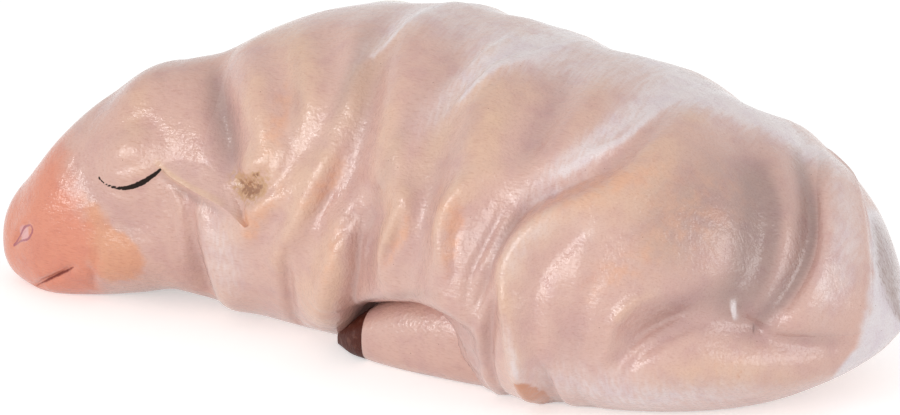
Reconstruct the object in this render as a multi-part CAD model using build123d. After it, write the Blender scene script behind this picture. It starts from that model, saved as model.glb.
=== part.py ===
from build123d import *
import math
import os

# Sleeping sheep figurine, carved in wood and painted: it lies with its chin on the ground and its eyes
# shut.
#
# Frame, in millimetres: Z is up and the figurine rests on Z = 0, the nose points along -X and the left
# flank faces -Y. The origin is the middle of the whole figurine's footprint box, on the surface that it
# rests on.
#
# Fleece, neck and head are one flowing form. It is described by upright rings along the length. Each
# ring is four quarters of a superellipse, and long strokes over it raise and sink the folds of wool.
# Ears, tail, legs and hooves are blocks laid on that form and cut to it, so that each one meets its
# neighbour face to face.
#
# A place on the form is (share of the length from the nose, degrees round the ring). The degrees start
# at the widest line of the left flank, and go up: 90 is the ridge of the back and 180 the right flank.

# Driving dimensions of the whole carving.
figure_length = 100.0
back_height = 34.4
left_girth = 21.0
right_girth = 18.8
spine_sway = 3.8
widest_height = 12.0
floor_bite = 1.8

# Rings from nose to rump. Each column is a share of the dimension that its name says. The floor bite is
# how far a ring would reach below the surface that the figurine stands on, where it is cut flat:
# negative ones hang clear.
#    along, back_height, left_girth, right_girth, spine_sway, widest_height, floor_bite
ring_shares = [
    (0.000, 0.170, 0.038, 0.043, -1.00, 0.39, -2.1),
    (0.010, 0.262, 0.166, 0.185, -1.00, 0.40, -0.6),
    (0.035, 0.358, 0.252, 0.277, -0.99, 0.42, 0.25),
    (0.070, 0.490, 0.335, 0.351, -0.92, 0.50, 0.6),
    (0.120, 0.635, 0.375, 0.404, -0.76, 0.67, 0.3),
    (0.165, 0.728, 0.410, 0.457, -0.58, 0.78, -0.15),
    (0.205, 0.760, 0.435, 0.511, -0.37, 0.87, -0.6),
    (0.240, 0.790, 0.475, 0.606, -0.13, 0.92, -0.3),
    (0.290, 0.872, 0.560, 0.734, 0.18, 0.97, 0.2),
    (0.350, 0.945, 0.655, 0.851, 0.45, 1.00, 0.7),
    (0.450, 0.998, 0.743, 0.926, 0.55, 1.00, 1.0),
    (0.530, 1.000, 0.885, 0.968, 0.39, 0.97, 1.2),
    (0.600, 0.975, 1.000, 1.000, 0.18, 0.90, 1.4),
    (0.700, 0.932, 0.976, 1.000, 0.08, 0.83, 1.3),
    (0.800, 0.846, 0.845, 0.957, 0.13, 0.80, 1.0),
    (0.880, 0.745, 0.670, 0.845, 0.29, 0.78, 0.15),
    (0.940, 0.595, 0.475, 0.625, 0.45, 0.77, -1.4),
    (0.980, 0.400, 0.255, 0.325, 0.56, 0.73, -3.0),
    (1.000, 0.250, 0.050, 0.060, 0.62, 0.71, -4.4),
]
ALONG, BACK, LEFT, RIGHT, SWAY, WIDEST, BITE = range(7)

# How square a ring's quarters are: 2 is an ellipse.
upper_square = 2.15
lower_square = 2.3
side_square = 2.15
block_square = 2.5

# Folds of wool, each drawn as one stroke: its height as a share of fold_height (below zero is a
# valley), its half width as a share of fold_width, and its path over the form.
fold_height = 1.2
fold_width = 2.6
left_fold_shares = [
    (-0.9, 0.8, [(0.256, 66), (0.270, 44), (0.282, 27), (0.294, 15), (0.316, 9)]),
    (1.0, 1.0, [(0.294, 72), (0.326, 43), (0.344, 29), (0.330, 19), (0.300, 13)]),
    (-0.8, 0.8, [(0.309, 68), (0.356, 46), (0.370, 32), (0.360, 22), (0.346, 14)]),
    (0.9, 1.0, [(0.354, 66), (0.388, 46), (0.384, 33), (0.362, 16), (0.332, 4), (0.296, -2)]),
    (-0.7, 0.8, [(0.387, 68), (0.415, 46), (0.407, 30), (0.381, 13), (0.355, 2)]),
    (0.8, 0.9, [(0.411, 73), (0.428, 54), (0.426, 34), (0.398, 12), (0.376, 1), (0.365, -11)]),
    (-0.7, 0.8, [(0.435, 89), (0.454, 59), (0.459, 38), (0.446, 20), (0.424, 12)]),
    (1.0, 1.2, [(0.457, 17), (0.437, 6), (0.421, -4), (0.391, -28)]),
    (-1.1, 0.8, [(0.488, 18), (0.474, 6), (0.464, -2), (0.447, -23)]),
    (0.8, 0.9, [(0.479, 87), (0.483, 61), (0.494, 41), (0.497, 24), (0.522, 18), (0.514, 10), (0.503, 2)]),
    (-0.7, 0.8, [(0.518, 98), (0.542, 68), (0.553, 47), (0.559, 33), (0.564, 25), (0.557, 12), (0.537, 1)]),
    (0.9, 1.0, [(0.559, 110), (0.590, 76), (0.604, 56), (0.612, 41), (0.602, 30), (0.587, 22), (0.587, 5)]),
    (-0.8, 0.8, [(0.646, 99), (0.662, 70), (0.656, 51), (0.644, 38), (0.625, 27), (0.606, 9)]),
    (0.7, 0.9, [(0.700, 101), (0.697, 68), (0.689, 50), (0.670, 43), (0.648, 32)]),
    (-1.0, 0.9, [(0.766, 102), (0.754, 66), (0.740, 46), (0.706, 32), (0.663, 20), (0.635, 8), (0.622, -2)]),
    (0.9, 1.1, [(0.794, 97), (0.779, 61), (0.759, 41), (0.728, 29), (0.698, 22), (0.677, 10), (0.652, -30)]),
    (-0.6, 0.7, [(0.650, 9), (0.640, -5), (0.619, -32)]),
    (-0.6, 0.7, [(0.723, 10), (0.717, -3), (0.687, -42)]),
    (0.7, 1.8, [(0.812, 67), (0.797, 48), (0.791, 36), (0.790, 22)]),
    (-1.4, 1.0, [(0.836, 82), (0.859, 67), (0.879, 52), (0.888, 36), (0.884, 22), (0.876, 11)]),
    (-1.1, 0.9, [(0.876, 101), (0.906, 79), (0.921, 56), (0.922, 32), (0.910, 14)]),
    (-1.0, 0.8, [(0.969, 0), (0.932, 4), (0.869, 8), (0.812, 6), (0.790, 3), (0.775, -5)]),
    (0.8, 1.1, [(0.953, -27), (0.916, -13), (0.866, -8), (0.822, -10), (0.791, -23)]),
    (-2.8, 1.6, [(0.400, -32), (0.450, -24), (0.500, -19), (0.560, -16)]),
    (-3.2, 1.3, [(0.480, -24), (0.520, -20), (0.550, -18), (0.580, -18)]),
]
right_fold_shares = [
    (-0.9, 0.8, [(0.256, 114), (0.270, 136), (0.284, 156), (0.300, 172)]),
    (1.0, 1.1, [(0.290, 112), (0.325, 140), (0.335, 165), (0.315, 195)]),
    (-0.8, 0.8, [(0.340, 112), (0.372, 140), (0.378, 168), (0.352, 200)]),
    (0.9, 1.0, [(0.392, 112), (0.420, 142), (0.424, 170), (0.395, 208)]),
    (-0.8, 0.9, [(0.440, 108), (0.470, 142), (0.474, 172), (0.446, 208)]),
    (0.8, 1.0, [(0.492, 108), (0.520, 140), (0.524, 172), (0.500, 208)]),
    (-0.7, 0.8, [(0.545, 112), (0.572, 142), (0.574, 175), (0.550, 210)]),
    (0.9, 1.1, [(0.600, 118), (0.628, 145), (0.630, 178), (0.606, 212)]),
    (-1.0, 0.9, [(0.665, 112), (0.690, 142), (0.690, 176), (0.664, 212)]),
    (0.8, 1.4, [(0.730, 115), (0.752, 142), (0.752, 175), (0.728, 210)]),
    (-0.9, 0.9, [(0.802, 115), (0.818, 142), (0.815, 172), (0.790, 205)]),
    (0.7, 1.0, [(0.846, 122), (0.862, 145), (0.860, 172), (0.838, 205)]),
]

# Forms of the head: brow, shut eyelids, hollows of the cheeks, rims of the lips.
face_height = 0.7
face_width = 2.2
left_face_shares = [
    (0.8, 1.2, [(0.150, 34), (0.180, 29), (0.208, 32)]),
    (-0.7, 1.0, [(0.105, 40), (0.128, 26), (0.140, 12)]),
    (-0.5, 1.0, [(0.150, 4), (0.185, 2), (0.215, 8)]),
    (0.6, 1.1, [(0.120, -18), (0.165, -22), (0.205, -20)]),
    (0.7, 1.3, [(0.158, 62), (0.195, 72)]),
]

# Carved lines of the face.
mouth_radius = 0.4
mouth_shares = [(0.058, -44), (0.072, -34), (0.088, -28), (0.100, -24), (0.111, -20)]
nostril_radius = 0.45
nostril_shares = [(0.036, 3), (0.046, 9), (0.057, 13)]

# Where the neck is sawn through, at the fleece's front edge, and how far both forms overrun the cut.
neck_joint_share = 0.265
neck_overrun_share = 0.05

# Ears: they hang back against the neck. Path over the form, then half width and half thickness along it.
ear_half_width = 4.0
ear_half_thickness = 2.0
ear_sink = 0.6
ear_path_shares = [(0.206, 77), (0.226, 60), (0.246, 40), (0.267, 24), (0.297, 12), (0.332, 5)]
ear_width_shares = [0.62, 0.96, 0.96, 0.60, 0.32, 0.13]
ear_thickness_shares = [0.65, 0.85, 1.0, 0.95, 0.8, 0.55]

# Tail: it hangs down the left corner of the rump.
tail_half_width = 3.6
tail_half_thickness = 2.6
tail_sink = 1.3
tail_path_shares = [
    (0.885, 112),
    (0.918, 96),
    (0.940, 78),
    (0.955, 57),
    (0.960, 35),
    (0.957, 14),
    (0.952, -4),
]
tail_width_shares = [0.45, 0.78, 0.94, 1.0, 0.98, 0.85, 0.6]
tail_thickness_shares = [0.75, 0.9, 1.0, 1.0, 1.0, 0.9, 0.6]

# Left hind leg: it lies on the ground along the belly, and its hoof points forward from the ankle.
# Rows: share of the reach, how far out to the side as a share of left_girth, then height of the middle,
# half width and half height, all three as shares of the radius. Legs and hooves are cut flat where they
# rest.
ankle_share = 0.84
hind_leg_root_share = 0.62
hind_leg_reach = 17.8
hind_leg_radius = 4.2
hind_leg_shares = [
    (0.00, 0.46, 1.00, 1.05, 1.20),
    (0.30, 0.48, 0.96, 1.00, 1.12),
    (0.60, 0.49, 0.80, 0.86, 0.92),
    (0.84, 0.52, 0.55, 0.64, 0.66),
    (1.00, 0.53, 0.36, 0.16, 0.22),
]

# Right foreleg: folded under the chest in the same way, hoof forward, on the side away from the hind leg.
fore_leg_root_share = 0.44
fore_leg_reach = 16.8
fore_leg_radius = 3.8
fore_leg_shares = [
    (0.00, 0.66, 0.90, 1.00, 1.00),
    (0.30, 0.66, 0.86, 0.95, 0.96),
    (0.60, 0.63, 0.74, 0.82, 0.84),
    (0.84, 0.59, 0.60, 0.66, 0.68),
    (1.00, 0.57, 0.38, 0.18, 0.24),
]

# How a stroke runs out: the share of its half wave that is left off at each end, and how blunt the wave is.
run_out_share = 0.1
run_out_power = 0.7

# How finely the forms are drawn, and how much closer the rings stand at the nose and the rump.
ring_crowding = 1.5
ring_points = 48
fleece_rings = 48
head_rings = 20
curve_steps = 6
along_step_share = 0.004
degree_step = 2
block_points = 16
block_rings = 16


def slope(rows, column, k):
    """Slope of a column at row k, from its neighbours."""
    low, high = max(k - 1, 0), min(k + 1, len(rows) - 1)
    return (rows[high][column] - rows[low][column]) / (rows[high][ALONG] - rows[low][ALONG])


def spread(column, along):
    """Value of one column of the rings at any place along the length: a cubic between the two rings."""
    i = max(k for k in range(len(ring_shares) - 1) if ring_shares[k][ALONG] <= along or k == 0)
    here, there = ring_shares[i], ring_shares[i + 1]
    run = there[ALONG] - here[ALONG]
    t = (along - here[ALONG]) / run
    return (
        (2 * t**3 - 3 * t**2 + 1) * here[column]
        + (t**3 - 2 * t**2 + t) * run * slope(ring_shares, column, i)
        + (3 * t**2 - 2 * t**3) * there[column]
        + (t**3 - t**2) * run * slope(ring_shares, column, i + 1)
    )


def eased(value, square):
    """A circle's sine or cosine bent into a superellipse's, sign kept."""
    return math.copysign(abs(value) ** (2 / square), value)


def skin(along, degrees, lift=0):
    """Point that stands off the plain form by lift."""
    turn = math.radians(degrees)
    side, up = math.cos(turn), math.sin(turn)
    middle = spread(WIDEST, along) * widest_height
    half_width = spread(LEFT, along) * left_girth if side > 0 else spread(RIGHT, along) * right_girth
    over = spread(BACK, along) * back_height - middle
    under = middle + spread(BITE, along) * floor_bite
    half_height, square = (over, upper_square) if up > 0 else (under, lower_square)
    return Vector(
        (along - 0.5) * figure_length,
        spread(SWAY, along) * spine_sway - (half_width + lift) * eased(side, side_square),
        middle + (half_height + lift) * eased(up, square),
    )


def outward(along, degrees):
    """Direction that stands square off the plain form."""
    ahead = skin(along + along_step_share, degrees) - skin(along - along_step_share, degrees)
    round_the_ring = skin(along, degrees + degree_step) - skin(along, degrees - degree_step)
    return ahead.cross(round_the_ring).normalized()


def smooth(rows):
    """Close rows on a curve through the given rows of numbers, each with how far along the curve it is."""
    last = len(rows) - 1
    close = []
    for i in range(last):
        a, b = rows[max(i - 1, 0)], rows[i]
        c, d = rows[i + 1], rows[min(i + 2, last)]
        for k in range(curve_steps + (i == last - 1)):
            t = k / curve_steps
            row = []
            for p0, p1, p2, p3 in zip(a, b, c, d):
                bend = 2 * p0 - 5 * p1 + 4 * p2 - p3 + t * (3 * p1 - p0 - 3 * p2 + p3)
                row.append(p1 + t / 2 * (p2 - p0 + t * bend))
            close.append((row, (i + t) / last))
    return close


def drawn(stroke_rows, height, half_width):
    """Strokes in real sizes, their paths as close points over the form with shares of the stroke."""
    return [
        (tall * height, wide * half_width, [(skin(*place), share) for place, share in smooth(path)])
        for tall, wide, path in stroke_rows
    ]


def relief(spot, strokes):
    """How far the strokes raise a spot: round in section, and running out at both ends."""
    total = 0
    for height, half_width, points in strokes:
        nearest, share = min(((spot - point).length, share) for point, share in points)
        wave = math.sin(math.pi * (run_out_share + (1 - 2 * run_out_share) * share))
        total += height * wave**run_out_power * math.exp(-((nearest / half_width) ** 2))
    return total


def closed_curve(points):
    """Smooth closed wire through points, evenly numbered, so that neighbouring ones loft without a twist."""
    numbers = [k / len(points) for k in range(len(points) + 1)]
    return Wire([Edge.make_spline(points, periodic=True, parameters=numbers)])


def ring(along, strokes):
    """One upright ring of the form with its relief, which dies out at the nose and the rump."""
    fade = min(1, spread(LEFT, along) / ring_shares[3][LEFT])
    spots = []
    for k in range(ring_points):
        degrees = 360 * k / ring_points - 90
        spots.append(skin(along, degrees, relief(skin(along, degrees), strokes) * fade))
    return closed_curve(spots)


def form(start, end, count, strokes):
    """Solid of the form from one of its round ends on, with the rings closer at that end."""
    places = [start + (end - start) * (k / (count - 1)) ** ring_crowding for k in range(count)]
    return Solid.make_loft([ring(along, strokes) for along in places])


def space(x, way):
    """All the space above the ground on one side of an upright cut across the body at x."""
    room = 2 * figure_length
    return Pos(x, 0, 0) * Box(room, room, room, align=(way, Align.CENTER, Align.MIN))


def mirrored(path):
    """The same path on the other side of the back."""
    return [(along, 180 - degrees) for along, degrees in path]


def evenly(rows):
    """Rows spaced evenly along the line of centres, which are their first three numbers."""
    close = [row for row, _ in smooth(rows)]
    walked = [0]
    for here, there in zip(close, close[1:]):
        walked.append(walked[-1] + math.dist(here[:3], there[:3]))
    even = []
    for k in range(block_rings):
        goal = walked[-1] * k / (block_rings - 1)
        i = max(j for j in range(len(close) - 1) if walked[j] <= goal)
        t = (goal - walked[i]) / (walked[i + 1] - walked[i])
        even.append([here + t * (there - here) for here, there in zip(close[i], close[i + 1])])
    return even


def block(rows, side):
    """Solid through rounded sections that stand square to the line of centres.

    A row is the section's centre, the direction that stands off the body there, and its half width and
    half thickness. The sections are drawn round from their inner side, one way on the right of the
    figurine (side 1) and the other way on its left (side -1), so that left and right blocks are mirror
    images.
    """
    rows = evenly(rows)
    last = len(rows) - 1
    turns = [side * 2 * math.pi * k / block_points - math.pi / 2 for k in range(block_points)]
    wires = []
    for i, (x, y, z, out_x, out_y, out_z, half_width, half_thickness) in enumerate(rows):
        ahead = Vector(*rows[min(i + 1, last)][:3]) - Vector(*rows[max(i - 1, 0)][:3])
        across = ahead.cross(Vector(out_x, out_y, out_z)).normalized()
        rise = across.cross(ahead).normalized()
        wires.append(
            closed_curve(
                [
                    Vector(x, y, z)
                    + across * half_width * eased(math.cos(turn), block_square)
                    + rise * half_thickness * eased(math.sin(turn), block_square)
                    for turn in turns
                ]
            )
        )
    return Solid.make_loft(wires)


def laid_block(path, sink, half_widths, half_thicknesses, side):
    """Block whose centres follow a path, sunk a little under the form."""
    rows = []
    for place, half_width, half_thickness in zip(path, half_widths, half_thicknesses):
        out = outward(*place)
        rows.append((*(skin(*place) - out * sink), *out, half_width, half_thickness))
    return block(rows, side)


def limb(root_share, reach, side, girth, radius, leg_rows):
    """Leg and hoof as one block that rests on the ground, and where its ankle is; side is -1 on the left."""
    root = (root_share - 0.5) * figure_length
    rows = [
        (root - reach * along, side * girth * out, radius * middle, 0, 0, 1, radius * wide, radius * high)
        for along, out, middle, wide, high in leg_rows
    ]
    return block(rows, side), root - reach * ankle_share


def largest(shape):
    """The one solid that is left when trimmings fall away."""
    return max(shape.solids(), key=lambda solid: solid.volume)


def carved_strokes():
    """All the strokes of fleece and face, the face's on both sides."""
    folds = left_fold_shares + right_fold_shares
    face = left_face_shares + [(tall, wide, mirrored(path)) for tall, wide, path in left_face_shares]
    return drawn(folds, fold_height, fold_width) + drawn(face, face_height, face_width)


def fleece_body(strokes, neck):
    whole = form(1, neck_joint_share - neck_overrun_share, fleece_rings, strokes)
    return largest(whole & space(neck, Align.MIN))


def head(strokes, neck):
    whole = form(0, neck_joint_share + neck_overrun_share, head_rings, strokes)
    carved = whole & space(neck, Align.MAX)
    for path, radius in ((mouth_shares, mouth_radius), (nostril_shares, nostril_radius)):
        sizes = [radius] * len(path)
        carved = carved - laid_block(path, 0, sizes, sizes, -1)
        carved = carved - laid_block(mirrored(path), 0, sizes, sizes, 1)
    return largest(carved)


def ear(path, side, neighbours):
    widths = [ear_half_width * share for share in ear_width_shares]
    thicknesses = [ear_half_thickness * share for share in ear_thickness_shares]
    laid = laid_block(path, ear_sink, widths, thicknesses, side)
    for neighbour in neighbours:
        laid = laid - neighbour
    return largest(laid)


def tail(body):
    widths = [tail_half_width * share for share in tail_width_shares]
    thicknesses = [tail_half_thickness * share for share in tail_thickness_shares]
    return largest(laid_block(tail_path_shares, tail_sink, widths, thicknesses, -1) - body)


def leg_and_hoof(limb_and_ankle, body):
    """The limb's two pieces, sawn apart at the ankle."""
    whole, ankle = limb_and_ankle
    shown = whole - body
    return largest(shown & space(ankle, Align.MIN)), largest(shown & space(ankle, Align.MAX))


def carving():
    """Every piece under its own name, in the carving's own axes."""
    strokes = carved_strokes()
    neck = (neck_joint_share - 0.5) * figure_length
    body = fleece_body(strokes, neck)
    pieces = {"fleece_body": body, "head": head(strokes, neck)}
    neighbours = list(pieces.values())
    pieces["left_ear"] = ear(ear_path_shares, -1, neighbours)
    pieces["right_ear"] = ear(mirrored(ear_path_shares), 1, neighbours)
    pieces["tail"] = tail(body)
    hind = limb(hind_leg_root_share, hind_leg_reach, -1, left_girth, hind_leg_radius, hind_leg_shares)
    fore = limb(fore_leg_root_share, fore_leg_reach, 1, right_girth, fore_leg_radius, fore_leg_shares)
    pieces["left_hind_leg"], pieces["left_hind_hoof"] = leg_and_hoof(hind, body)
    pieces["right_foreleg"], pieces["right_fore_hoof"] = leg_and_hoof(fore, body)
    return pieces


def centred(pieces):
    """The same pieces with the middle of their footprint box at the origin."""
    middle = Compound(list(pieces.values())).bounding_box().center()
    return {name: Pos(-middle.X, -middle.Y, 0) * piece for name, piece in pieces.items()}


os.makedirs("parts", exist_ok=True)
for name, piece in centred(carving()).items():
    export_step(piece, f"parts/{name}.step")
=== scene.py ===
# %% [markdown]
# # A sleeping sheep, carved in wood and painted
# The figurine is a hand-long block of wood, carved into a sheep that lies with its chin on the ground.
# Its wool is a row of long soft folds, painted thinly in pinkish cream and varnished to a satin shine.
# Such a form could be sculpted by hand in Blender. We work it out from numbers instead, so that each fold
# can be placed by the photograph, moved again later, and comes out the same on every run. The measured
# model is loaded first, because everything here is placed by it.

import math

import bmesh
import bpy
import numpy as np
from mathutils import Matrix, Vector


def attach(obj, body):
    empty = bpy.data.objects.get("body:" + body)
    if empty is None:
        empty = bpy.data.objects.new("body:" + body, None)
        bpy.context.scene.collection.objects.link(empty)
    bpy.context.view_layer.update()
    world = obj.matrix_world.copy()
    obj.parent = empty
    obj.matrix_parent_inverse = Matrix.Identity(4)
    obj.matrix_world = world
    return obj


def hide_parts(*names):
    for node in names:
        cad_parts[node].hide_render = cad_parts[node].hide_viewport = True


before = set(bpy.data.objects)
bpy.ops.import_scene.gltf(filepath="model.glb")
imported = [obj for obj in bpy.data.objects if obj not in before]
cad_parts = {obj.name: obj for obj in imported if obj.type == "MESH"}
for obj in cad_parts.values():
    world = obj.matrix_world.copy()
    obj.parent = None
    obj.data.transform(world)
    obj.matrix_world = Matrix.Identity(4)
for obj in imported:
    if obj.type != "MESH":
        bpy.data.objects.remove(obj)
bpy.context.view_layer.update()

# %% [markdown]
# ## The block's main sizes
# A carver saws the side and the top outline out of the block first, and rounds it after that. A row of
# upright rings does the same here: each says how high the back is, how far the flanks stand out and how
# low the widest line lies. A mesh could be modelled point by point instead, but a few rings with a smooth
# passage between them keep the form as calm as rasped wood.
# Lengths are in millimetres, as a carver would measure them, and become metres only when a mesh is made.
# The nose points along -X, the left flank faces -Y, and the figurine rests on Z = 0. Each row is one ring,
# and each number is a share of the size that heads its column.

# %% Sizes and rings of the form
mm = 0.001
figure_length, back_height = 100.0, 34.4
left_girth, right_girth = 21.0, 18.8
spine_sway, widest_height, floor_bite = 3.8, 12.0, 1.8
upper_square, lower_square, side_square = 2.15, 2.3, 2.15
ring_rows = np.array([
    # along, back_height, left_girth, right_girth, spine_sway, widest_height, floor_bite
    (0.000, 0.170, 0.038, 0.043, -1.00, 0.39, -2.1),
    (0.010, 0.262, 0.166, 0.185, -1.00, 0.40, -0.6),
    (0.035, 0.358, 0.252, 0.277, -0.99, 0.42, 0.25),
    (0.070, 0.490, 0.335, 0.351, -0.92, 0.50, 0.6),
    (0.120, 0.635, 0.375, 0.404, -0.76, 0.67, 0.3),
    (0.165, 0.728, 0.410, 0.457, -0.58, 0.78, -0.15),
    (0.205, 0.760, 0.435, 0.511, -0.37, 0.87, -0.6),
    (0.240, 0.790, 0.475, 0.606, -0.13, 0.92, -0.3),
    (0.290, 0.872, 0.560, 0.734, 0.18, 0.97, 0.2),
    (0.350, 0.945, 0.655, 0.851, 0.45, 1.00, 0.7),
    (0.450, 0.998, 0.743, 0.926, 0.55, 1.00, 1.0),
    (0.530, 1.000, 0.885, 0.968, 0.39, 0.97, 1.2),
    (0.600, 0.975, 1.000, 1.000, 0.18, 0.90, 1.4),
    (0.700, 0.932, 0.976, 1.000, 0.08, 0.83, 1.3),
    (0.800, 0.846, 0.845, 0.957, 0.13, 0.80, 1.0),
    (0.880, 0.745, 0.670, 0.845, 0.29, 0.78, 0.15),
    (0.940, 0.595, 0.475, 0.625, 0.45, 0.77, -1.4),
    (0.980, 0.400, 0.255, 0.325, 0.56, 0.73, -3.0),
    (1.000, 0.250, 0.050, 0.060, 0.62, 0.71, -4.4),
])
BACK, LEFT, RIGHT, SWAY, WIDEST, BITE = range(1, 7)
side_shift = 0.5  # sideways, so that the footprint has its middle at the origin
print(len(ring_rows), "rings along", figure_length, "mm, back", back_height, "mm high")


# %% Values between the rings
def spread(column, along):
    """A ring column at any place along the length.

    Between two rows it is the cubic that starts and ends with their values, and whose slope at a row is
    the rise from its neighbour before to its neighbour after, divided by the way between them.
    """
    at, value = ring_rows[:, 0], ring_rows[:, column]
    before, after = np.r_[0, 0 : len(at) - 1], np.r_[1 : len(at), len(at) - 1]
    slope = (value[after] - value[before]) / (at[after] - at[before])
    i = np.clip(np.searchsorted(at, along, side="right") - 1, 0, len(at) - 2)
    run = at[i + 1] - at[i]
    t = (along - at[i]) / run
    return (
        (2 * t**3 - 3 * t**2 + 1) * value[i]
        + (t**3 - 2 * t**2 + t) * run * slope[i]
        + (3 * t**2 - 2 * t**3) * value[i + 1]
        + (t**3 - t**2) * run * slope[i + 1]
    )


print("left girth a third of the way along:", round(float(spread(LEFT, 1 / 3) * left_girth), 1), "mm")


# %% The plain form
def eased(value, square):
    """A sine or cosine raised to the power 2 / square, sign kept: a circle bent into a squarer curve."""
    return np.sign(value) * np.abs(value) ** (2 / square)


def skin(along, degrees, lift=0.0):
    """Points of the plain form, standing off it by lift.

    Sideways it is the ring's half width times the eased cosine, upwards the ring's half height times the
    eased sine, with one half height above the widest line and another below it.
    """
    turn = np.radians(degrees)
    side, up = np.cos(turn), np.sin(turn)
    middle = spread(WIDEST, along) * widest_height
    half_width = np.where(side > 0, spread(LEFT, along) * left_girth, spread(RIGHT, along) * right_girth)
    over = spread(BACK, along) * back_height - middle
    under = middle + spread(BITE, along) * floor_bite
    half_height, square = np.where(up > 0, over, under), np.where(up > 0, upper_square, lower_square)
    return np.stack(
        [
            (along - 0.5) * figure_length + 0 * side,
            spread(SWAY, along) * spine_sway - (half_width + lift) * eased(side, side_square) + side_shift,
            middle + (half_height + lift) * eased(up, square),
        ],
        axis=-1,
    )


print("point of the left flank, mm:", skin(0.6, 0).round(1))


# %% Smooth paths
def smooth(rows, steps):
    """Close rows on the Catmull-Rom curve through the given rows."""
    rows = np.asarray(rows, float)
    padded = np.concatenate([rows[:1], rows, rows[-1:]])
    place = np.linspace(0, len(rows) - 1, steps * (len(rows) - 1) + 1)
    i = np.minimum(place.astype(int), len(rows) - 2)
    t = (place - i)[:, None]
    a, b, c, d = padded[i], padded[i + 1], padded[i + 2], padded[i + 3]
    return b + t / 2 * (c - a + t * (2 * a - 5 * b + 4 * c - d + t * (3 * b - a - 3 * c + d)))


path_steps, fine_steps = 12, 30
print("a path of 2 rows becomes one of", len(smooth([(0, 0), (1, 1)], path_steps)))

# %% [markdown]
# ## Strokes of the gouge
# The wool is cut with a round gouge, in long strokes that leave a valley and, between two of them, a soft
# fold. It could be brushed in with the sculpting tools. We note each stroke as a line over the form,
# because a line can be read off the photograph: a path of (share of the length, degrees round the ring),
# where 90 degrees is the back and 0 the widest line of the left flank. The two numbers before it say how
# tall and how wide the stroke is, as shares of fold_height and fold_width, and a height below zero sinks
# it. First come the folds that the photograph shows, from the neck to the rump and under the belly.

# %% Folds of the near flank
fold_height, fold_width = 1.2, 2.6
left_folds = [
    (-1.5, 0.8, [(0.254, 72), (0.266, 54), (0.281, 41), (0.292, 31), (0.302, 23), (0.312, 17)]),
    (1.0, 1.0, [(0.294, 72), (0.326, 43), (0.344, 29), (0.330, 19), (0.300, 13)]),
    (-0.8, 0.8, [(0.309, 68), (0.356, 46), (0.370, 32), (0.360, 22), (0.346, 14)]),
    (0.9, 1.0, [(0.354, 66), (0.388, 46), (0.384, 33), (0.362, 16), (0.332, 4), (0.296, -2)]),
    (-0.7, 0.8, [(0.387, 68), (0.415, 46), (0.407, 30), (0.381, 13), (0.355, 2)]),
    (0.8, 0.9, [(0.411, 73), (0.428, 54), (0.426, 34), (0.398, 12), (0.376, 1), (0.365, -11)]),
    (-0.7, 0.8, [(0.435, 89), (0.454, 59), (0.459, 38), (0.446, 20), (0.424, 12)]),
    (1.2, 1.0, [(0.459, 12), (0.446, 2), (0.432, -8), (0.416, -21), (0.400, -38)]),
    (-1.1, 0.8, [(0.488, 18), (0.474, 6), (0.464, -2), (0.447, -23)]),
    (0.8, 0.9, [(0.479, 87), (0.483, 61), (0.494, 41), (0.497, 24), (0.522, 18), (0.514, 10), (0.503, 2)]),
    (-0.7, 0.8, [(0.518, 98), (0.542, 68), (0.553, 47), (0.559, 33), (0.564, 25), (0.557, 12), (0.537, 1)]),
    (0.9, 1.0, [(0.559, 110), (0.590, 76), (0.604, 56), (0.612, 41), (0.602, 30), (0.587, 22), (0.587, 5)]),
    (-0.8, 0.8, [(0.646, 99), (0.662, 70), (0.656, 51), (0.644, 38), (0.625, 27), (0.606, 9)]),
    (0.7, 0.9, [(0.700, 101), (0.697, 68), (0.689, 50), (0.670, 43), (0.648, 32)]),
    (-0.9, 0.7, [(0.766, 102), (0.757, 66), (0.742, 51), (0.716, 44), (0.690, 37), (0.670, 31),
                 (0.656, 24), (0.645, 15), (0.634, 4)]),
    (1.0, 1.0, [(0.794, 97), (0.779, 61), (0.757, 45), (0.719, 35), (0.689, 28), (0.669, 21),
                (0.661, 13), (0.667, 4), (0.675, -8), (0.672, -34)]),
    (-0.6, 0.7, [(0.650, 9), (0.640, -5), (0.619, -32)]),
    (-0.6, 0.7, [(0.723, 10), (0.717, -3), (0.687, -42)]),
    (0.7, 1.8, [(0.812, 67), (0.797, 48), (0.791, 36), (0.790, 22)]),
    (-1.4, 1.0, [(0.836, 82), (0.859, 67), (0.879, 52), (0.888, 36), (0.884, 22), (0.876, 11)]),
    (-1.1, 0.9, [(0.876, 101), (0.906, 79), (0.921, 56), (0.922, 32), (0.910, 14)]),
    (-1.0, 0.8, [(0.966, -10), (0.930, -3), (0.886, 4), (0.840, 8), (0.800, 4), (0.775, -3)]),
    (0.8, 1.1, [(0.950, -30), (0.916, -17), (0.866, -10), (0.822, -11), (0.791, -23)]),
    (-3.8, 0.75, [(0.448, -50), (0.460, -39), (0.474, -31), (0.502, -23), (0.530, -17), (0.558, -12),
                  (0.584, -9), (0.604, -9)]),
    (-3.6, 0.95, [(0.490, -44), (0.515, -36), (0.545, -29), (0.575, -24), (0.600, -22)]),
    (-3.0, 1.0, [(0.505, -56), (0.545, -47), (0.575, -41), (0.592, -39)]),
    (-0.9, 0.7, [(0.262, -14), (0.262, -34), (0.258, -52)]),
    (0.9, 1.0, [(0.292, -12), (0.292, -32), (0.284, -54)]),
]
print(len(left_folds), "broad strokes on the near flank")

# %% [markdown]
# The far flank can't be seen. It gets folds of its own in the same rhythm, a little calmer, because a
# mirrored flank would look stamped and not carved.

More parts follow.
